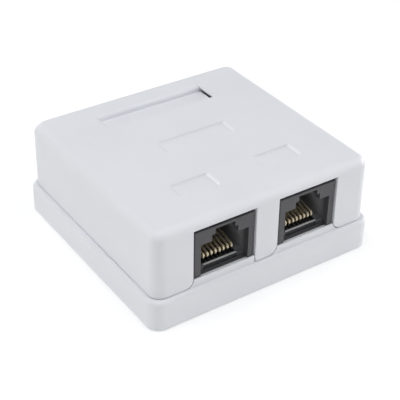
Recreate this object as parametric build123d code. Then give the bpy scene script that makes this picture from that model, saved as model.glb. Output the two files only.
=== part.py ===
from build123d import *
import math
import os

# Two-port surface-mount outlet box. Millimetres. +Z points out of the wall, the
# two ports look towards -Y, and the origin is the centre of the back face.

# ---------------------------------------------------------------- dimensions
W = 57.6            # outside width of the base (X)
D = 55.9            # outside depth of the base (Y)
H = 23.3            # outside height over the cover
HB = 7.27           # height of the base's rim
RB = 3.0            # base corner radius
R_RIM = 0.9         # rounding of the rim's upper outer edge
T_BASE = 2.0        # base wall
T_FLOOR = 2.0       # base floor
INSET = 1.03        # step from the rim to the cover
GAP = 0.10          # gap between rim and cover
ZC = HB + GAP       # lower edge of the cover
RC = 2.8            # cover corner radius
R_TOP = 2.3         # rounding of the cover's upper edge
T_COVER = 1.8       # cover wall
T_TOP = 1.8         # cover top
DRAFT = 0.45        # degrees
X_LABEL0, X_LABEL1 = -14.1, 14.0    # label recess on the cover's top
Y_LABEL0, Y_LABEL1 = 13.85, 19.9
LABEL_DEEP, LABEL_FRONT = 1.42, 0.3  # its depth at the rear and at the front
R_LABEL = 1.0       # rounding of its rear rim
DEEP_SHALLOW = 0.28 # depth of the three plain recesses
SKIN = 0.4          # cover top beyond the recess's slit
WC = W - 2 * INSET
DC = D - 2 * INSET

XC = 10.7           # port centre from the middle plane
WIN_IN = 2.9        # inner side of each window
WIN_OUT = 18.5      # outer side of each window
WIN_TOP = 21.15     # upper side of each window
SILL_TOP = 8.6
SILL_T = 1.33       # thickness of the sills
LIP_TOP = 9.05      # thin upstand along the front of each sill
LIP_T = 0.41
R_TONGUE = (0.7, 2.5)   # lower corners of the tongue between the windows, left and right
R_LEG = 2.1         # lower corners of the outer legs
LEG_GAP = 0.2       # gap between those legs and the sills
R_SOFT = 0.15       # rounding of the cover's window and lower edges
Y_FRONT = -D / 2 + INSET

YJ = Y_FRONT + 0.5  # front face of the jacks
Z_BOARD = 7.4       # underside of the board
T_BOARD = 1.6
ZP = Z_BOARD + T_BOARD
XJ = 0.15           # sideways play taken up by both jacks
JW, JD, ZJ = 15.0, 15.2, 20.3      # jack width, depth, top
SETBACK, Z_SETBACK = 0.95, 10.8    # lower front, stepped back behind the sill
PLUG_W = 11.9       # plug opening width
Z_PLUG0 = 10.15     # plug opening floor
Z_PLUG1 = 16.9      # plug opening ceiling
PLUG_D = 12.9       # plug opening depth
NOTCH_LOW, NOTCH_UP = 6.5, 4.9   # widths of the latch notch's two steps
CONTACT_N = 8
CONTACT_PITCH = 1.02
WIRE_R = 0.27
PIN_BOTTOM = 6.2
PIN_ROWS = (9.3, 11.84)
WIRE_FRONT = 2.3    # front of the wires' bend, from the jack's face
WIRE_MID = 11.58    # height of the bend's centre
WIRE_BEND_R = 0.5
WIRE_RISE = 11.0    # slope of the contact arm, degrees
WIRE_FALL = 8.5     # slope of the lower leg
WIRE_END = 10.7     # end of the contact arm, from the jack's face
CARRIER_HW = 4.2    # half width of the contact carrier
CARRIER_TOP = 10.25
CARRIER_FRONT = 1.6

YT = -3.7           # centre of the terminal blocks
TB_W, TB_D, TB_H = 15.0, 13.0, 9.8
TB_SLAB = 3.9
TB_PITCH = 3.6
TB_ROW = 4.3
BOARD_X = 18.3
BOARD_Y0, BOARD_Y1 = -24.1, 8.3

SCREW_X, SCREW_Y, SCREW_R = 22.2, 18.5, 2.1
POSTS = ((16.9, -22.2), (16.9, 6.0))

os.makedirs("parts", exist_ok=True)


def block(x0, x1, y0, y1, z0, z1):
    return Pos((x0 + x1) / 2, (y0 + y1) / 2, (z0 + z1) / 2) * Box(x1 - x0, y1 - y0, z1 - z0)


def rod(x, y, z0, z1, r):
    return Pos(x, y, (z0 + z1) / 2) * Cylinder(r, z1 - z0)


def rounded_leg(x0, x1, y0, y1, z0, z1, radii):
    """Upright plate with its two lower corners rounded, left and right."""
    b = block(x0, x1, y0, y1, z0, z1)
    for k, r in enumerate(radii):
        b = fillet(b.edges().filter_by(Axis.Y).group_by(Axis.Z)[0].sort_by(Axis.X)[-k], r)
    return b


# ---------------------------------------------------------------- base
def make_base():
    b = extrude(RectangleRounded(W, D, RB), HB)
    b = fillet(b.edges().group_by(Axis.Z)[-1], R_RIM)
    b = fillet(b.edges().group_by(Axis.Z)[0], 0.35)
    b -= Pos(0, 0, T_FLOOR) * extrude(RectangleRounded(W - 2 * T_BASE, D - 2 * T_BASE, 1.0), HB)

    # sills under the two windows, with keep-outs for the cover's legs
    y0 = Y_FRONT + 0.04
    sill = block(-21.5, 21.5, y0, y0 + SILL_T, 1.0, SILL_TOP)
    lip = block(-21.5, 21.5, y0, y0 + LIP_T, SILL_TOP - 0.6, LIP_TOP)
    top = lip.edges().filter_by(Axis.X).group_by(Axis.Z)[-1].sort_by(Axis.Y)
    lip = fillet(top[0], 0.24)
    top = lip.edges().filter_by(Axis.X).group_by(Axis.Z)[-1].sort_by(Axis.Y)
    lip = fillet(top[-1], 0.08)
    sill += lip
    g = LEG_GAP
    sill -= rounded_leg(-WIN_IN - g, WIN_IN + g, -30, -20, ZC - g, 15, [r + g for r in R_TONGUE])
    for s in (-1, 1):
        xa, xb = sorted((s * (WIN_OUT - g), s * 34.0))
        sill -= rounded_leg(xa, xb, -30, -20, ZC - g, 15, [R_LEG + g] * 2)
    b += sill

    # posts and locating pins under the board
    for x, y in POSTS:
        for s in (-1, 1):
            b += rod(s * x, y, T_FLOOR - 0.5, Z_BOARD, 2.2)
            b += rod(s * x, y, Z_BOARD - 0.5, ZP - 0.15, 0.95)

    # hooks that hold the board down: two at its rear edge, one at each side
    hook_h = ZP + 1.3
    for s in (-1, 1):
        # rear hooks: arm in XZ, nose towards -Y
        arm = block(s * 10.7 - 2.5, s * 10.7 + 2.5, BOARD_Y1 + 0.15, BOARD_Y1 + 1.35, T_FLOOR - 0.5, hook_h)
        pts = [(BOARD_Y1 + 0.2, ZP + 0.06), (BOARD_Y1 - 0.6, ZP + 0.06), (BOARD_Y1 - 0.6, ZP + 0.3), (BOARD_Y1 + 0.2, hook_h)]
        f = make_face(Polyline(*[(0, y, z) for y, z in pts], close=True))
        n = Pos(s * 10.7 - 2.5, 0, 0) * extrude(f, amount=5.0, dir=(1, 0, 0))
        b += arm + n
        # side hooks
        xa, xb = sorted((s * (BOARD_X + 0.15), s * (BOARD_X + 1.35)))
        arm = block(xa, xb, 3.9, 7.7, T_FLOOR - 0.5, hook_h)
        pts = [(s * (BOARD_X + 0.2), ZP + 0.06), (s * (BOARD_X - 0.55), ZP + 0.06), (s * (BOARD_X - 0.55), ZP + 0.3), (s * (BOARD_X + 0.2), hook_h)]
        f = make_face(Polyline(*[(x, 3.9, z) for x, z in pts], close=True))
        n = extrude(f, amount=3.8, dir=(0, 1, 0))
        b += arm + n

    # locating ribs inside the cover's wall, and catch rails for its catch tabs
    for s in (-1, 1):
        for yr in (-12.5, 12.5):
            xa, xb = sorted((s * 24.6, s * 27.2))
            b += block(xa, xb, yr - 2.5, yr + 2.5, T_FLOOR - 0.5, HB - 0.6)
            xa, xb = sorted((s * 24.6, s * 25.8))
            b += block(xa, xb, yr - 2.5, yr + 2.5, HB - 1.0, HB + 3.0)
        xa, xb = sorted((s * 26.55, s * 27.2))
        b += block(xa, xb, -5.0, 5.0, 5.7, 6.6)
        b += block(s * 14 - 3, s * 14 + 3, 23.7, 26.4, T_FLOOR - 0.5, HB - 0.6)
        b += block(s * 14 - 3, s * 14 + 3, 23.7, 24.95, HB - 1.0, HB + 3.0)

    # wall screws: bosses, holes and flat seats
    for sx in (-1, 1):
        for sy in (-1, 1):
            boss = rod(0, 0, T_FLOOR - 0.5, 3.2, 4.0)
            boss = fillet(boss.edges().group_by(Axis.Z)[-1], 0.3)
            b += Pos(sx * SCREW_X, sy * SCREW_Y, 0) * boss
            b -= rod(sx * SCREW_X, sy * SCREW_Y, -1, 5, SCREW_R)
            b -= Pos(sx * SCREW_X, sy * SCREW_Y, 2.85) * Cone(SCREW_R, SCREW_R + 0.75, 0.75)

    # cable inlets: floor opening and rear notch closed above by the cover
    b -= Pos(0, 17.0, -1) * extrude(RectangleRounded(17.0, 9.0, 2.0), 5)
    lead = Pos(0, 17.0, T_FLOOR - 0.5) * extrude(RectangleRounded(17.0, 9.0, 2.0), 0.6, taper=-45)
    b -= lead
    notch = block(-6.5, 6.5, 24.5, 30, T_FLOOR + 0.4, HB + 2)
    notch = fillet(notch.edges().filter_by(Axis.Y).group_by(Axis.Z)[0], 1.0)
    b -= notch
    return b


# ---------------------------------------------------------------- cover
def make_cover():
    c = Pos(0, 0, ZC) * extrude(RectangleRounded(WC, DC, RC), H - ZC, taper=DRAFT)
    c = fillet(c.edges().group_by(Axis.Z)[-1], R_TOP)
    c -= Pos(0, 0, ZC) * extrude(RectangleRounded(WC - 2 * T_COVER, DC - 2 * T_COVER, 1.0), H - T_TOP - ZC, taper=DRAFT)

    # windows, open at the bottom; the legs' lower corners are rounded
    for s in (-1, 1):
        xa, xb = sorted((s * WIN_IN, s * WIN_OUT))
        c -= block(xa, xb, -30, -24.0, ZC - 1, WIN_TOP)
    for x_edge, r in ((-WIN_IN, R_TONGUE[0]), (WIN_IN, R_TONGUE[1]), (-WIN_OUT, R_LEG), (WIN_OUT, R_LEG)):
        c = fillet([e for e in c.edges().filter_by(Axis.Y)
                    if abs(e.center().Z - ZC) < 0.01 and e.center().Y < -24 and abs(e.center().X - x_edge) < 0.05], r)
    # soft outer edges round the windows and along the lower rim
    c = fillet([e for e in c.edges()
                if e.center().Y < Y_FRONT + 0.4 and ZC + 3 < e.center().Z < WIN_TOP + 0.1
                and abs(e.center().X) < WIN_OUT + 0.1], R_SOFT)

    # label recess: thick pad below, floor that rises towards the front, rounded rear rim
    c += block(-15.4, 14.8, 12.2, 21.6, H - 3.0, H - 1.2)
    r = R_LABEL
    with BuildSketch(Plane.YZ) as label:
        with BuildLine():
            Polyline((Y_LABEL1 + r, H + 1), (Y_LABEL1 + r, H))
            CenterArc((Y_LABEL1 + r, H - r), r, 90, 90)
            Polyline((Y_LABEL1, H - r), (Y_LABEL1, H - LABEL_DEEP), (Y_LABEL0, H - LABEL_FRONT), (Y_LABEL0, H + 1), (Y_LABEL1 + r, H + 1))
        make_face()
    c -= Pos(X_LABEL0, 0, 0) * extrude(label.sketch, amount=X_LABEL1 - X_LABEL0, dir=(1, 0, 0))
    # at the right end the floor stops short on a slant and the skin beyond is relieved from below
    under = [(Y_LABEL1, H - SKIN), (Y_LABEL1, H - LABEL_DEEP), (Y_LABEL0, H - LABEL_FRONT - 0.15), (Y_LABEL0, H - SKIN)]
    c -= Pos(X_LABEL1 - 0.1, 0, 0) * extrude(make_face(Polyline(*[(0, y, z) for y, z in under], close=True)), amount=2.7, dir=(1, 0, 0))
    plan = [(X_LABEL1 - 0.8, Y_LABEL0), (X_LABEL1, 17.6), (X_LABEL1 + 0.55, Y_LABEL1), (X_LABEL1 + 2.6, Y_LABEL1), (X_LABEL1 + 2.6, Y_LABEL0)]
    c -= extrude(make_face(Polyline(*[(x, y, H - 6) for x, y in plan], close=True)), amount=6 - SKIN, dir=(0, 0, 1))

    # shallow recesses with sloping walls: one in the middle, one behind each port
    for x, y, w in ((0.35, 0.65, 17.1), (-10.75, -15.35, 8.7), (10.75, -15.35, 8.7)):
        c -= Pos(x, y, H - DEEP_SHALLOW) * extrude(RectangleRounded(w, 4.5, 0.35), 0.6, taper=-58)

    # catch tabs at the two sides
    for s in (-1, 1):
        xa, xb = sorted((s * 24.75, s * 25.9))
        c += block(xa, xb, -4, 4, 3.6, 13.0)
        xa, xb = sorted((s * 24.75, s * 26.3))
        c += block(xa, xb, -4, 4, ZC + 0.3, 13.0)
        pts = [(s * 25.8, 3.9), (s * 26.45, 4.5), (s * 26.45, 5.0), (s * 25.8, 5.6)]
        f = make_face(Polyline(*[(x, -4, z) for x, z in pts], close=True))
        c += extrude(f, amount=8, dir=(0, 1, 0))
    return c


# ---------------------------------------------------------------- jacks
def contact_x(i):
    return (i - (CONTACT_N - 1) / 2) * CONTACT_PITCH


def pin_y(i):
    return PIN_ROWS[i % 2]


def make_housing():
    pts = [(0, ZP), (JD, ZP), (JD, ZJ - 0.9), (JD - 0.9, ZJ), (0, ZJ)]
    j = extrude(make_face(Polyline(*[(-JW / 2, y, z) for y, z in pts], close=True)), amount=JW, dir=(1, 0, 0))
    j = fillet(j.edges().filter_by(Axis.Z).group_by(Axis.Y)[0], 0.3)
    j = fillet(j.edges().group_by(Axis.Y)[0], 0.14)
    hw = PLUG_W / 2
    # core-outs in the top, behind the latch notch
    for s in (-1, 1):
        xa, xb = sorted((s * 1.0, s * 5.6))
        j -= block(xa, xb, 11.0, 13.4, ZJ - 1.2, ZJ + 1)
    # lower front, stepped back, and the flange that drops in front of the board
    j -= block(-PLUG_W / 2, PLUG_W / 2, -1, SETBACK, ZP - 2, Z_SETBACK)
    j += block(-JW / 2 + 0.3, JW / 2 - 0.3, SETBACK, 2.2, ZP - 1.4, ZP + 0.2)
    j -= block(-hw, hw, -1, PLUG_D, Z_PLUG0, Z_PLUG1)
    # latch notch in two steps
    j -= block(-NOTCH_LOW / 2, NOTCH_LOW / 2, -1, 9.6, Z_PLUG1 - 0.1, 18.45)
    j -= block(-NOTCH_UP / 2, NOTCH_UP / 2, -1, 9.6, 18.4, 19.7)
    # open lower front between the cheeks
    chin = block(-hw, hw, -1, CARRIER_FRONT - 0.05, ZP, Z_PLUG0 + 0.2)
    chin = fillet(chin.edges().filter_by(Axis.Y).group_by(Axis.Z)[0], 0.6)
    j -= chin
    # bed of the contact carrier
    bed = block(-CARRIER_HW - 0.05, CARRIER_HW + 0.05, CARRIER_FRONT - 0.05, 13.3, ZP - 1, CARRIER_TOP + 0.05)
    j -= bed
    # comb between the wires' free ends
    for i in range(CONTACT_N - 1):
        x = contact_x(i) + CONTACT_PITCH / 2
        j += block(x - 0.14, x + 0.14, 10.3, PLUG_D + 0.1, 12.3, Z_PLUG1 + 0.1)
    # board pegs, with a lead-in
    for s in (-1, 1):
        peg = rod(0, 0, ZP - 2.4, ZP + 0.2, 1.5)
        peg = chamfer(peg.edges().group_by(Axis.Z)[0], 0.4)
        j += Pos(s * 5.72, 8.9, 0) * peg
    j -= bed
    return j


def make_carrier():
    z0 = ZP + 0.02
    yf = CARRIER_FRONT
    pts = [(yf, z0), (13.2, z0), (13.2, CARRIER_TOP), (yf + 0.6, CARRIER_TOP), (yf, Z_PLUG0)]
    f = make_face(Polyline(*[(-CARRIER_HW, y, z) for y, z in pts], close=True))
    c = extrude(f, amount=2 * CARRIER_HW, dir=(1, 0, 0))
    front = [e for e in c.edges().filter_by(Axis.X) if abs(e.center().Y - yf) < 0.01 and e.center().Z > 10]
    c = fillet(front, 0.22)
    for i in range(CONTACT_N):
        x = contact_x(i)
        c -= block(x - 0.34, x + 0.34, WIRE_FRONT - 0.1, 14, ZP + 0.35, 11)
        c -= rod(x, pin_y(i), ZP - 1, 10, 0.34)
    return c


def make_wire(i):
    """Spring wire: solder pin, lower leg, front bend, contact arm rising to the rear."""
    x, yp = contact_x(i), pin_y(i)
    rise, fall = math.radians(WIRE_RISE), math.radians(WIRE_FALL)
    half, tilt = (rise + fall) / 2, (rise - fall) / 2
    back = WIRE_BEND_R / math.sin(half)
    y_mid = WIRE_FRONT + WIRE_BEND_R + WIRE_R
    yi, zi = y_mid - back * math.cos(tilt), WIRE_MID - back * math.sin(tilt)
    pts = [(x, yp, PIN_BOTTOM), (x, yp, zi - (yp - yi) * math.tan(fall)), (x, yi, zi),
           (x, WIRE_END, zi + (WIRE_END - yi) * math.tan(rise))]
    path = FilletPolyline(*pts, radius=[0.5, WIRE_BEND_R])
    return sweep(Plane(origin=pts[0], z_dir=(0, 0, 1)) * Circle(WIRE_R), path=path)


# ---------------------------------------------------------------- terminals
def terminal_xy(k):
    col, row = k % 4, k // 4
    return (col - 1.5) * TB_PITCH, (-TB_ROW if row == 0 else TB_ROW)


def make_terminal_block():
    t = block(-TB_W / 2, TB_W / 2, -TB_D / 2, TB_D / 2, ZP, ZP + TB_SLAB)
    hw = TB_W / 2
    zt = ZP + TB_H
    # towers with pointed tops on both sides of the middle channel
    for s in (-1, 1):
        for k in range(5):
            x0 = max(-hw, (k - 2) * TB_PITCH - (TB_PITCH - 1.2) / 2)
            x1 = min(hw, (k - 2) * TB_PITCH + (TB_PITCH - 1.2) / 2)
            xm = (x0 + x1) / 2
            pts = [(x0, ZP + 1), (x1, ZP + 1), (x1, zt - 1.1), (xm + 0.25, zt), (xm - 0.25, zt), (x0, zt - 1.1)]
            ya, yb = sorted((s * 1.9, s * TB_D / 2))
            f = make_face(Polyline(*[(x, ya, z) for x, z in pts], close=True))
            t += extrude(f, amount=yb - ya, dir=(0, 1, 0))
    for k in range(8):
        x, y = terminal_xy(k)
        t -= block(x - 1.4, x + 1.4, y - 0.35, y + 0.35, ZP + 1.0, zt + 1)
        t -= block(x - 0.4, x + 0.4, y - 0.35, y + 0.35, ZP - 1, ZP + 2)
    return t


def make_terminal_contact(k):
    x, y = terminal_xy(k)
    z0, z1 = ZP + 1.1, ZP + 8.4
    p = block(x - 1.25, x + 1.25, y - 0.25, y + 0.25, z0, z1)
    p -= block(x - 0.16, x + 0.16, y - 1, y + 1, z1 - 5.2, z1 + 1)
    pts = [(x - 0.16, z1 - 0.9), (x + 0.16, z1 - 0.9), (x + 0.75, z1 + 0.1), (x - 0.75, z1 + 0.1)]
    f = make_face(Polyline(*[(px, y - 1, pz) for px, pz in pts], close=True))
    p -= extrude(f, amount=2, dir=(0, 1, 0))
    p += block(x - 0.3, x + 0.3, y - 0.25, y + 0.25, PIN_BOTTOM, z0 + 0.3)
    return p


# ---------------------------------------------------------------- board
def make_board():
    b = Pos(0, (BOARD_Y0 + BOARD_Y1) / 2, Z_BOARD) * extrude(RectangleRounded(2 * BOARD_X, BOARD_Y1 - BOARD_Y0, 1.0), T_BOARD)
    for s in (-1, 1):
        for i in range(CONTACT_N):
            b -= rod(s * XC + XJ + contact_x(i), YJ + pin_y(i), 5, 10, 0.42)
        for q in (-1, 1):
            b -= rod(s * XC + XJ + q * 5.72, YJ + 8.9, 5, 10, 1.62)
        for k in range(8):
            x, y = terminal_xy(k)
            b -= rod(s * XC + x, YT + y, 5, 10, 0.55)
        for x, y in POSTS:
            b -= rod(s * x, y, 5, 10, 1.05)
    return b


export_step(make_base(), "parts/base.step")
export_step(make_cover(), "parts/cover.step")
export_step(make_board(), "parts/circuit_board.step")
for side, s in (("left", -1), ("right", 1)):
    at_jack = Pos(s * XC + XJ, YJ, 0)
    at_term = Pos(s * XC, YT, 0)
    export_step(at_jack * make_housing(), f"parts/jack_housing_{side}.step")
    export_step(at_jack * make_carrier(), f"parts/contact_carrier_{side}.step")
    for i in range(CONTACT_N):
        export_step(at_jack * make_wire(i), f"parts/jack_contact_{side}_{i + 1}.step")
    export_step(at_term * make_terminal_block(), f"parts/terminal_block_{side}.step")
    for k in range(8):
        export_step(at_term * make_terminal_contact(k), f"parts/terminal_contact_{side}_{k + 1}.step")
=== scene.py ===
import math

import bpy
import bmesh
from mathutils import Matrix, Vector


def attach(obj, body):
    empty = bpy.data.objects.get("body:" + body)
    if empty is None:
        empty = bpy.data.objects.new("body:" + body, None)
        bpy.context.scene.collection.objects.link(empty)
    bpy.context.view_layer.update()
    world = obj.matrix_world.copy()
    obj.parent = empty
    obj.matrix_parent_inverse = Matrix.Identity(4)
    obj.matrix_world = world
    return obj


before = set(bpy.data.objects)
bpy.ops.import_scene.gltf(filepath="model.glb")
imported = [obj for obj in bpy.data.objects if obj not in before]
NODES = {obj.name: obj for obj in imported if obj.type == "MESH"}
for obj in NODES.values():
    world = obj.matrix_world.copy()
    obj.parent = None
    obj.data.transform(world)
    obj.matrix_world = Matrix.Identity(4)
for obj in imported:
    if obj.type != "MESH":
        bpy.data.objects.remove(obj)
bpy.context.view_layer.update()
scene = bpy.context.scene
MM = 0.001

# ------------------------------------------------------------------ camera
CAM_LENS = 95.846
CAM_YAW, CAM_PITCH, CAM_ROLL = math.radians(-34.447), math.radians(34.163), math.radians(0.964)
CAM_SHIFT = (-1.0677, -5.6198, 249.06)

back = Vector((math.sin(CAM_YAW) * math.cos(CAM_PITCH), -math.cos(CAM_YAW) * math.cos(CAM_PITCH), math.sin(CAM_PITCH)))
right0 = Vector((math.cos(CAM_YAW), math.sin(CAM_YAW), 0.0))
up0 = back.cross(right0)
cr, sr = math.cos(CAM_ROLL), math.sin(CAM_ROLL)
right = right0 * cr + up0 * sr
up = -right0 * sr + up0 * cr
rot = Matrix((right, up, back)).transposed()
centre = rot @ Vector((-CAM_SHIFT[0], -CAM_SHIFT[1], CAM_SHIFT[2])) * MM
cam_data = bpy.data.cameras.new("Camera")
cam_data.lens = CAM_LENS
cam_data.sensor_width = 36.0
cam_data.clip_start = 0.01
cam_data.clip_end = 20.0
cam = bpy.data.objects.new("Camera", cam_data)
scene.collection.objects.link(cam)
cam.matrix_world = Matrix.Translation(centre) @ rot.to_4x4()
scene.camera = cam
scene.view_settings.view_transform = "Standard"
scene.view_settings.look = "None"


# ------------------------------------------------------------------ materials
class Tree:
    """Small helper that adds and links shader nodes."""

    def __init__(self, name):
        self.mat = bpy.data.materials.new(name)
        self.mat.use_nodes = True
        self.nt = self.mat.node_tree
        self.nt.nodes.clear()
        self.out = self.add("ShaderNodeOutputMaterial")
        self.bsdf = self.add("ShaderNodeBsdfPrincipled")
        self.link(self.bsdf.outputs["BSDF"], self.out.inputs["Surface"])
        self.coord = self.add("ShaderNodeTexCoord").outputs["Object"]

    def add(self, kind, **values):
        n = self.nt.nodes.new(kind)
        for k, v in values.items():
            setattr(n, k, v)
        return n

    def link(self, a, b):
        self.nt.links.new(a, b)

    def noise(self, scale, detail=3.0, rough=0.5, stretch=(1, 1, 1), offset=(0, 0, 0)):
        m = self.add("ShaderNodeMapping")
        m.inputs["Scale"].default_value = stretch
        m.inputs["Location"].default_value = offset
        self.link(self.coord, m.inputs["Vector"])
        n = self.add("ShaderNodeTexNoise")
        n.inputs["Scale"].default_value = scale
        n.inputs["Detail"].default_value = detail
        n.inputs["Roughness"].default_value = rough
        self.link(m.outputs["Vector"], n.inputs["Vector"])
        return n.outputs["Fac"]

    def ramp(self, fac, stops):
        r = self.add("ShaderNodeValToRGB")
        e = r.color_ramp.elements
        while len(e) < len(stops):
            e.new(0.5)
        for el, (p, c) in zip(e, stops):
            el.position = p
            el.color = (*c, 1) if len(c) == 3 else c
        self.link(fac, r.inputs["Fac"])
        return r.outputs["Color"]

    def span(self, fac, lo, hi, a=0.0, b=1.0):
        m = self.add("ShaderNodeMapRange")
        m.inputs["From Min"].default_value = a
        m.inputs["From Max"].default_value = b
        m.inputs["To Min"].default_value = lo
        m.inputs["To Max"].default_value = hi
        self.link(fac, m.inputs["Value"])
        return m.outputs["Result"]

    def mix(self, fac, a, b, blend="MIX"):
        m = self.add("ShaderNodeMix", data_type="RGBA", blend_type=blend)
        for sock, v in (("Factor", fac), ("A", a), ("B", b)):
            s = next(i for i in m.inputs if i.name == sock and (i.type == "RGBA" if sock != "Factor" else i.type == "VALUE"))
            if isinstance(v, (int, float)):
                s.default_value = v
            elif isinstance(v, (tuple, list)):
                s.default_value = (*v, 1) if len(v) == 3 else v
            else:
                self.link(v, s)
        return next(o for o in m.outputs if o.type == "RGBA")

    def math(self, op, a, b=None):
        m = self.add("ShaderNodeMath", operation=op)
        for i, v in enumerate((a, b)):
            if v is None:
                continue
            if isinstance(v, (int, float)):
                m.inputs[i].default_value = v
            else:
                self.link(v, m.inputs[i])
        return m.outputs[0]

    def bump(self, height, strength, distance, normal=None):
        b = self.add("ShaderNodeBump")
        b.inputs["Strength"].default_value = strength
        b.inputs["Distance"].default_value = distance
        self.link(height, b.inputs["Height"])
        if normal is not None:
            self.link(normal, b.inputs["Normal"])
        return b.outputs["Normal"]

    def set(self, **sockets):
        for k, v in sockets.items():
            s = self.bsdf.inputs[k.replace("_", " ")]
            if isinstance(v, (int, float)):
                s.default_value = v
            elif isinstance(v, (tuple, list)):
                s.default_value = (*v, 1) if len(v) == 3 else v
            else:
                self.link(v, s)


def moulded(name, base, dark, rough=(0.38, 0.5), grain=0.000012, spec=0.5, wear=None, sss=0.0, painted_inner_light=None, painted_edge_highlight=None, wall_shade_and_highlight=()):
    """Injection-moulded plastic: fine spark-eroded grain, faint flow clouds, small scuffs."""
    t = Tree(name)
    clouds = t.noise(45, 3, 0.55)
    col = t.mix(t.span(clouds, 0, 1, 0.35, 0.7), dark, base)
    specks = t.noise(2600, 1, 0.4)
    col = t.mix(t.span(specks, 0.0, 0.12, 0.62, 0.8), col, tuple(c * 0.86 for c in dark))
    scuff = t.noise(260, 5, 0.62, stretch=(1, 0.12, 0.4), offset=(3, 1, 2))
    scuffs = t.span(scuff, 0, 1, 0.66, 0.76)
    if wear is not None:
        col = t.mix(t.math("MULTIPLY", scuffs, 0.25), col, wear)
    if painted_inner_light or painted_edge_highlight or wall_shade_and_highlight:
        place = t.add("ShaderNodeSeparateXYZ")
        t.link(t.coord, place.inputs["Vector"])
    for x0, x1, y0, y1, z0, amount, tint in wall_shade_and_highlight:     # painted shade (dark tint) or painted highlight (light tint) in a strip along a recess wall, millimetres
        m = t.math("MULTIPLY", t.span(place.outputs["X"], 0.0, 1.0, (x0 - 0.1) * MM, (x0 + 0.1) * MM),
                   t.span(place.outputs["X"], 1.0, 0.0, (x1 - 0.1) * MM, (x1 + 0.1) * MM))
        m = t.math("MULTIPLY", m, t.span(place.outputs["Y"], 0.0, 1.0, (y0 - 0.12) * MM, (y0 + 0.12) * MM))
        m = t.math("MULTIPLY", m, t.span(place.outputs["Y"], 1.0, 0.0, (y1 - 0.08) * MM, (y1 + 0.08) * MM))
        m = t.math("MULTIPLY", m, t.span(place.outputs["Z"], 0.0, amount, (z0 - 0.05) * MM, (z0 + 0.05) * MM))
        col = t.mix(m, col, tint)
    if painted_inner_light:       # painted light: a paler band deeper inside the two openings, millimetres
        tint, y0, y1 = painted_inner_light
        aside = t.math("ABSOLUTE", place.outputs["X"])
        m = t.math("MULTIPLY", t.span(aside, 0.0, 1.0, 4.1 * MM, 4.3 * MM), t.span(aside, 1.0, 0.0, 17.1 * MM, 17.3 * MM))
        m = t.math("MULTIPLY", m, t.span(place.outputs["Z"], 1.0, 0.0, 19.0 * MM, 19.2 * MM))
        m = t.math("MULTIPLY", m, t.span(place.outputs["Y"], 1.0, 0.0, -13.0 * MM, -12.6 * MM))
        m = t.math("MULTIPLY", m, t.span(place.outputs["Y"], 0.0, 1.0, y0 * MM, y1 * MM))
        col = t.mix(m, col, tint)
    if painted_edge_highlight:        # painted highlight along the front top edge, above a height and in front of a depth
        tint, z0, z1, y1 = painted_edge_highlight
        high = t.span(place.outputs["Z"], 0.0, 1.0, z0 * MM, z1 * MM)
        front = t.span(place.outputs["Y"], 1.0, 0.0, (y1 - 0.05) * MM, (y1 + 0.05) * MM)
        col = t.mix(t.math("MULTIPLY", high, front), col, tint)
    t.set(Base_Color=col)
    r = t.math("ADD", t.span(t.noise(900, 2, 0.5), rough[0], rough[1], 0.3, 0.7), t.math("MULTIPLY", scuffs, 0.08))
    t.set(Roughness=r)
    h1 = t.noise(7000, 2, 0.55)
    n = t.bump(h1, 0.35, grain)
    n = t.bump(t.noise(60, 2, 0.5), 0.15, 0.00006, n)
    t.set(Normal=n)
    t.bsdf.inputs["Specular IOR Level"].default_value = spec
    if sss:
        t.bsdf.inputs["Subsurface Weight"].default_value = sss
        t.bsdf.inputs["Subsurface Radius"].default_value = (1.0, 0.95, 0.9)
        t.bsdf.inputs["Subsurface Scale"].default_value = 0.0012
    return t.mat


def metal(name, base, dark, rough=(0.16, 0.32), draw=None):
    t = Tree(name)
    c = t.noise(900, 4, 0.6, stretch=draw or (1, 1, 1))
    t.set(Base_Color=t.mix(t.span(c, 0, 1, 0.3, 0.72), dark, base), Metallic=1.0)
    t.set(Roughness=t.span(t.noise(2500, 3, 0.5, stretch=draw or (1, 1, 1)), rough[0], rough[1], 0.3, 0.7))
    t.set(Normal=t.bump(t.noise(6000, 2, 0.5, stretch=draw or (1, 1, 1)), 0.25, 0.000008))
    return t.mat


# The darker wall strips below are painted shade along the rear walls and left edges of the top recesses; the lighter
# strips are painted highlight on their right walls.
M_WHITE = moulded("white_plastic", (0.790, 0.806, 0.845), (0.766, 0.782, 0.822), rough=(0.34, 0.46), wear=(0.70, 0.70, 0.71),
                  wall_shade_and_highlight=((-8.4, 9.1, 2.85, 3.35, 22.8, 0.4, (0.52, 0.52, 0.54)),
                        (-15.3, -6.2, -13.15, -12.65, 22.8, 0.4, (0.52, 0.52, 0.54)),
                        (6.2, 15.3, -13.15, -12.65, 22.8, 0.4, (0.52, 0.52, 0.54)),
                        (-14.3, -13.7, 15.2, 20.0, 21.0, 0.36, (0.52, 0.52, 0.54)),
                        (-8.8, -8.2, -1.3, 2.9, 22.8, 0.24, (0.52, 0.52, 0.54)),
                        (-15.7, -15.1, -17.3, -13.1, 22.8, 0.24, (0.52, 0.52, 0.54)),
                        (5.8, 6.4, -17.3, -13.1, 22.8, 0.24, (0.52, 0.52, 0.54)),
                        # painted highlight: lighter strips on the right walls of the middle and both small recesses
                        (8.95, 9.6, -1.5, 2.9, 22.8, 0.55, (0.88, 0.90, 0.93)),
                        (-6.35, -5.7, -17.5, -13.1, 22.8, 0.6, (0.92, 0.94, 0.97)),
                        (15.15, 15.8, -17.5, -13.1, 22.8, 0.6, (0.92, 0.94, 0.97))))
# painted light: the charcoal is paled in a band deeper inside both openings
M_CHAR = moulded("charcoal_plastic", (0.075, 0.075, 0.082), (0.060, 0.060, 0.066), rough=(0.36, 0.5), wear=(0.13, 0.13, 0.135),
                 painted_inner_light=((0.28, 0.285, 0.30), -25.3, -23.6))
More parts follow.
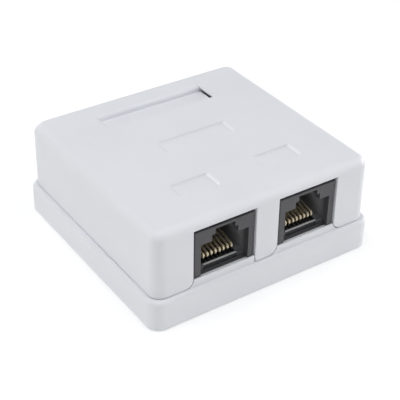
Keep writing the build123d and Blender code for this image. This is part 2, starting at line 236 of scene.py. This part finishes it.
# painted highlight: a pale strip along the carrier's front top edge
M_BLACK = moulded("black_plastic", (0.050, 0.052, 0.056), (0.038, 0.040, 0.044), rough=(0.3, 0.42), wear=(0.09, 0.09, 0.09),
                  painted_edge_highlight=((0.52, 0.54, 0.54), 10.03, 10.1, -24.44))
M_IVORY = moulded("ivory_plastic", (0.74, 0.72, 0.66), (0.68, 0.66, 0.60), rough=(0.36, 0.48), wear=(0.6, 0.58, 0.52))
M_GOLD = metal("gold_wire", (0.95, 0.86, 0.66), (0.88, 0.77, 0.56), rough=(0.42, 0.58), draw=(1, 0.1, 0.1))
M_TIN = metal("tinned_bronze", (0.74, 0.73, 0.70), (0.58, 0.57, 0.54), rough=(0.24, 0.42))


def laminate():
    t = Tree("board_laminate")
    weave = t.add("ShaderNodeTexWave", wave_type="BANDS", bands_direction="X")
    weave.inputs["Scale"].default_value = 900
    weave.inputs["Distortion"].default_value = 0.6
    t.link(t.coord, weave.inputs["Vector"])
    weave2 = t.add("ShaderNodeTexWave", wave_type="BANDS", bands_direction="Y")
    weave2.inputs["Scale"].default_value = 900
    weave2.inputs["Distortion"].default_value = 0.6
    t.link(t.coord, weave2.inputs["Vector"])
    w = t.math("MULTIPLY", weave.outputs["Fac"], weave2.outputs["Fac"])
    c = t.mix(t.span(t.noise(120, 3, 0.5), 0, 1, 0.35, 0.7), (0.012, 0.115, 0.045), (0.018, 0.150, 0.058))
    c = t.mix(t.math("MULTIPLY", w, 0.18), c, (0.05, 0.21, 0.09))
    t.set(Base_Color=c, Roughness=t.span(t.noise(500, 3, 0.5), 0.2, 0.34, 0.3, 0.7))
    t.set(Normal=t.bump(w, 0.2, 0.00001))
    t.bsdf.inputs["Coat Weight"].default_value = 0.3
    t.bsdf.inputs["Coat Roughness"].default_value = 0.15
    return t.mat


M_BOARD = laminate()


def printed(name, base, rough=0.55, spread=0.05, coat=0.0):
    """Ink, lacquer or card: slight colour drift, small speckle, fibrous bump."""
    t = Tree(name)
    dark = tuple(c * (1 - 2 * spread) for c in base)
    c = t.mix(t.span(t.noise(700, 3, 0.6), 0, 1, 0.3, 0.7), dark, base)
    c = t.mix(t.span(t.noise(5200, 2, 0.5), 0, 0.5, 0.58, 0.8), c, tuple(min(1, v * 1.15) for v in base))
    t.set(Base_Color=c, Roughness=t.span(t.noise(1500, 2, 0.5), rough - 0.06, rough + 0.08, 0.3, 0.7))
    t.set(Normal=t.bump(t.noise(4200, 3, 0.6, stretch=(1, 0.35, 1)), 0.25, 0.00001))
    if coat:
        t.bsdf.inputs["Coat Weight"].default_value = coat
        t.bsdf.inputs["Coat Roughness"].default_value = 0.15
    return t.mat


M_TRACE = printed("trace_lacquer", (0.035, 0.235, 0.095), 0.26, 0.06, 0.3)
M_PRINT = printed("print_ink", (0.78, 0.79, 0.76), 0.5, 0.04)
M_SOLDER = metal("solder", (0.70, 0.70, 0.69), (0.50, 0.50, 0.49), rough=(0.18, 0.38))
M_CARD = printed("card", (0.82, 0.81, 0.77), 0.6, 0.03)
M_C1 = printed("card_orange", (0.72, 0.20, 0.03), 0.6, 0.05)
M_C2 = printed("card_green", (0.05, 0.33, 0.08), 0.6, 0.05)
M_C3 = printed("card_blue", (0.03, 0.10, 0.42), 0.6, 0.05)
M_C4 = printed("card_brown", (0.20, 0.085, 0.03), 0.6, 0.05)

for name, o in NODES.items():
    if name in ("base", "cover"):
        m = M_WHITE
    elif name == "circuit_board":
        m = M_BOARD
    elif name.startswith("jack_housing"):
        m = M_CHAR
    elif name.startswith("contact_carrier"):
        m = M_BLACK
    elif name.startswith("terminal_block"):
        m = M_IVORY
    elif name.startswith("jack_contact"):
        m = M_GOLD
    else:
        m = M_TIN
    if not o.material_slots:
        o.data.materials.append(m)
    for s in o.material_slots:
        s.material = m

# ------------------------------------------------------------------ details on the board
Z_TOP, Z_LOW = 9.0, 7.4             # board's two faces, mm
X_PORT, X_JACK, Y_JACK, Y_TERM = 10.7, 0.15, -26.42, -3.7
PITCH, PINS = 1.02, (9.3, 11.84)
T_PITCH, T_ROW = 3.6, 4.3


def ribbon(bm, pts, width, z0, z1):
    """Flat strip with mitred corners along a plan polyline, millimetres."""
    pts = [Vector(p) for p in pts]
    rows = []
    for i, p in enumerate(pts):
        a = (pts[i] - pts[i - 1]).normalized() if i else None
        b = (pts[i + 1] - pts[i]).normalized() if i + 1 < len(pts) else None
        d = (a or b) if (a is None or b is None) else (a + b).normalized()
        n = Vector((-d.y, d.x))
        k = 1.0 if (a is None or b is None) else 1.0 / max(0.3, n.dot(Vector((-a.y, a.x))))
        for_w = n * (width / 2 * k)
        rows.append([bm.verts.new(Vector((*(p + s * for_w), z)) * MM) for s, z in ((-1, z0), (1, z0), (1, z1), (-1, z1))])
    for r, q in zip(rows, rows[1:]):
        for i in range(4):
            j = (i + 1) % 4
            bm.faces.new((r[i], r[j], q[j], q[i]))
    bm.faces.new(list(reversed(rows[0])))
    bm.faces.new(rows[-1])


def ring(bm, x, y, r0, r1, z0, z1, n=20):
    """Annular pad; r0 of 0 makes a disc."""
    def loop(r, z):
        return [bm.verts.new(Vector((x + r * math.cos(2 * math.pi * i / n), y + r * math.sin(2 * math.pi * i / n), z)) * MM) for i in range(n)]
    out0, out1 = loop(r1, z0), loop(r1, z1)
    if r0 <= 0:
        for i in range(n):
            j = (i + 1) % n
            bm.faces.new((out0[i], out0[j], out1[j], out1[i]))
        bm.faces.new(out1)
        bm.faces.new(list(reversed(out0)))
        return
    in0, in1 = loop(r0, z0), loop(r0, z1)
    for i in range(n):
        j = (i + 1) % n
        bm.faces.new((out0[i], out0[j], out1[j], out1[i]))
        bm.faces.new((in0[j], in0[i], in1[i], in1[j]))
        bm.faces.new((out1[i], out1[j], in1[j], in1[i]))
        bm.faces.new((out0[j], out0[i], in0[i], in0[j]))


def turned(bm, x, y, profile, n=18):
    """Closed body of revolution about a vertical axis; profile runs (r, z) from one end on the axis to the other."""
    loops = []
    for r, z in profile:
        if r < 1e-6:
            loops.append([bm.verts.new(Vector((x, y, z)) * MM)])
        else:
            loops.append([bm.verts.new(Vector((x + r * math.cos(2 * math.pi * i / n), y + r * math.sin(2 * math.pi * i / n), z)) * MM) for i in range(n)])
    for a, b in zip(loops, loops[1:]):
        for i in range(n):
            j = (i + 1) % n
            if len(a) == 1:
                bm.faces.new((a[0], b[j], b[i]))
            elif len(b) == 1:
                bm.faces.new((a[i], a[j], b[0]))
            else:
                bm.faces.new((a[i], a[j], b[j], b[i]))


def slab(bm, x0, x1, y0, y1, z0, z1, mat=0):
    v = [bm.verts.new(Vector((x, y, z)) * MM) for z in (z0, z1) for x, y in ((x0, y0), (x1, y0), (x1, y1), (x0, y1))]
    for f in ((3, 2, 1, 0), (4, 5, 6, 7), (0, 1, 5, 4), (1, 2, 6, 5), (2, 3, 7, 6), (3, 0, 4, 7)):
        bm.faces.new([v[i] for i in f]).material_index = mat


def finish_piece(name, bm, mats, body="housing", smooth=False):
    bmesh.ops.recalc_face_normals(bm, faces=bm.faces[:])
    me = bpy.data.meshes.new(name)
    bm.to_mesh(me)
    bm.free()
    for m in mats if isinstance(mats, (list, tuple)) else [mats]:
        me.materials.append(m)
    o = bpy.data.objects.new(name, me)
    scene.collection.objects.link(o)
    if smooth:
        me.shade_smooth()
    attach(o, body)
    return o


def jack_pin(s, i):
    return s * X_PORT + X_JACK + (i - 3.5) * PITCH, Y_JACK + PINS[i % 2]


def term_pin(s, k):
    return s * X_PORT + (k % 4 - 1.5) * T_PITCH, Y_TERM + (-T_ROW if k < 4 else T_ROW)


# copper runs under the lacquer: fan from the jack pins towards the terminals, and a rim line
bm = bmesh.new()
zc0, zc1 = Z_TOP - 0.02, Z_TOP + 0.03
for s in (-1, 1):
    for i in range(8):
        x, _ = jack_pin(s, i)
        tx = s * X_PORT + (i - 3.5) * 1.55
        ribbon(bm, [(x, -11.16), (x, -10.95), (x + (tx - x) * 0.6, -10.42), (x + (tx - x) * 0.6, -10.24)], 0.28, zc0, zc1)
for s in (-1, 1):
    ribbon(bm, [(s * 0.55, -23.4), (s * 0.55, -12.4), (s * 1.5, -11.45), (s * 1.5, -2.0), (s * 0.8, -1.3), (s * 0.8, 4.2), (s * 2.2, 5.6), (s * 7.4, 5.6)], 0.3, zc0, zc1)
    ribbon(bm, [(s * 1.35, -23.4), (s * 1.35, -12.9), (s * 2.35, -11.9), (s * 2.35, 3.3), (s * 3.6, 4.55), (s * 14.2, 4.55)], 0.3, zc0, zc1)
    ribbon(bm, [(s * 17.75, -21.0), (s * 17.75, 3.2)], 0.3, zc0, zc1)
ribbon(bm, [(-8.0, 7.35), (8.0, 7.35)], 0.5, zc0, zc1)
finish_piece("board_traces", bm, M_TRACE)

# plated through holes in the open parts of the board
bm = bmesh.new()
for x, y in ((0.0, -22.2), (0.0, -16.8), (0.0, -8.4), (0.0, 1.2), (-5.2, 6.45), (5.2, 6.45), (-7.4, 5.6), (7.4, 5.6), (-14.2, 4.55), (14.2, 4.55)):
    ring(bm, x, y, 0.22, 0.5, zc0, zc1 + 0.012)
finish_piece("board_vias", bm, M_TIN)

# printed outlines round the jacks and blocks, with pin-one marks
bm = bmesh.new()
zs0, zs1 = Z_TOP - 0.015, Z_TOP + 0.02
for s in (-1, 1):
    xc = s * X_PORT
    xa, xb, ya, yb = xc - 7.72, xc + 7.72, Y_TERM - 6.46, Y_TERM + 6.72
    xa, xb = max(xa, -18.2), min(xb, 18.2)
    ribbon(bm, [(xa, ya), (xa, yb), (xb, yb), (xb, ya)], 0.14, zs0, zs1)
    ring(bm, xa + 0.5, yb + 0.55, 0.0, 0.24, zs0, zs1, 14)
    xj = s * X_PORT + X_JACK
    side = xj - s * 7.72
    ribbon(bm, [(side, -23.6), (side, -11.1)], 0.14, zs0, zs1)
for k in range(6):
    ribbon(bm, [(-2.0 + k * 0.8, 7.95), (-1.6 + k * 0.8, 7.95)], 0.14, zs0, zs1)
finish_piece("board_print", bm, M_PRINT)

# solder under the board
bm = bmesh.new()
for s in (-1, 1):
    for i in range(8):
        x, y = jack_pin(s, i)
        turned(bm, x, y, [(0.0, 6.55), (0.2, 6.6), (0.27, 6.85), (0.36, 7.1), (0.47, 7.3), (0.5, 7.42), (0.0, 7.42)], 14)
    for k in range(8):
        x, y = term_pin(s, k)
        turned(bm, x, y, [(0.0, 6.5), (0.3, 6.55), (0.4, 6.85), (0.55, 7.12), (0.72, 7.32), (0.76, 7.42), (0.0, 7.42)], 16)
finish_piece("solder_joints", bm, M_SOLDER, smooth=True)

# wiring-order cards in the channel of each terminal block: pairs of colour fields
for side, s in (("left", -1), ("right", 1)):
    bm = bmesh.new()
    z0 = Z_TOP + 3.9
    xc = s * X_PORT
    slab(bm, xc - 7.2, xc + 7.2, Y_TERM - 1.7, Y_TERM + 1.7, z0 - 0.02, z0 + 0.12, 0)
    for k in range(8):
        x, _ = term_pin(s, k)
        row = -1 if k < 4 else 1
        ya, yb = sorted((Y_TERM + row * 0.25, Y_TERM + row * 1.5))
        pair = 1 + (k % 4)
        slab(bm, x - 1.5, x - 0.05, ya, yb, z0 + 0.1, z0 + 0.14, pair)
        if k % 2:
            slab(bm, x + 0.05, x + 1.5, ya, yb, z0 + 0.1, z0 + 0.14, pair)
    finish_piece(f"wiring_card_{side}", bm, [M_CARD, M_C1, M_C2, M_C3, M_C4])

# ------------------------------------------------------------------ floor and light
me = bpy.data.meshes.new("floor")
bm = bmesh.new()
bmesh.ops.create_grid(bm, x_segments=1, y_segments=1, size=3.0)
bm.to_mesh(me)
bm.free()
floor = bpy.data.objects.new("floor", me)
scene.collection.objects.link(floor)
floor.location = (0, 0, -0.00002)
t = Tree("floor_paper")
t.set(Base_Color=t.mix(t.noise(30, 2, 0.5), (0.80, 0.80, 0.80), (0.83, 0.83, 0.83)), Roughness=0.9)
t.bsdf.inputs["Specular IOR Level"].default_value = 0.1
t.bsdf.inputs["Emission Color"].default_value = (1, 1, 1, 1)
t.bsdf.inputs["Emission Strength"].default_value = 0.245
me.materials.append(t.mat)

world = bpy.data.worlds.new("World")
scene.world = world
world.use_nodes = True
wn = world.node_tree
wn.nodes["Background"].inputs["Color"].default_value = (1, 1, 1, 1)
wn.nodes["Background"].inputs["Strength"].default_value = 0.0


def softbox(name, pos, target, size, power, color=(1, 1, 1)):
    d = bpy.data.lights.new(name, "AREA")
    d.shape = "RECTANGLE"
    d.size, d.size_y = size
    d.energy = power
    d.color = color
    o = bpy.data.objects.new(name, d)
    scene.collection.objects.link(o)
    o.location = pos
    o.rotation_mode = "QUATERNION"
    o.rotation_quaternion = (Vector(target) - Vector(pos)).to_track_quat("-Z", "Y")
    return o


def studio(az, el, power, size=0.4, dist=0.9):
    """Softbox seen from the object at this azimuth (from +X towards +Y) and elevation."""
    a, e = math.radians(az), math.radians(el)
    d = Vector((math.cos(e) * math.cos(a), math.cos(e) * math.sin(a), math.sin(e)))
    tint = (1.0, 0.965, 0.973) if el < 50 else (0.985, 1.004, 1.0)
    return softbox(f"softbox_{az}_{el}", tuple(d * dist), (0, 0, 0.01), (size, size), power * 0.965, tint)


for az, el, power in ((0, 8, 4.2), (90, 8, 3.3), (135, 62, 0.5), (150, 8, 1.1), (150, 35, 0.75), (180, 62, 1.1),
                      (210, 35, 0.3), (225, 62, 0.9), (240, 35, 0.45), (270, 62, 0.25), (300, 35, 0.6), (315, 62, 0.42),
                      (330, 8, 1.6), (330, 35, 0.45)):
    studio(az, el, power)
studio(90, 90, 3.15, 0.6)
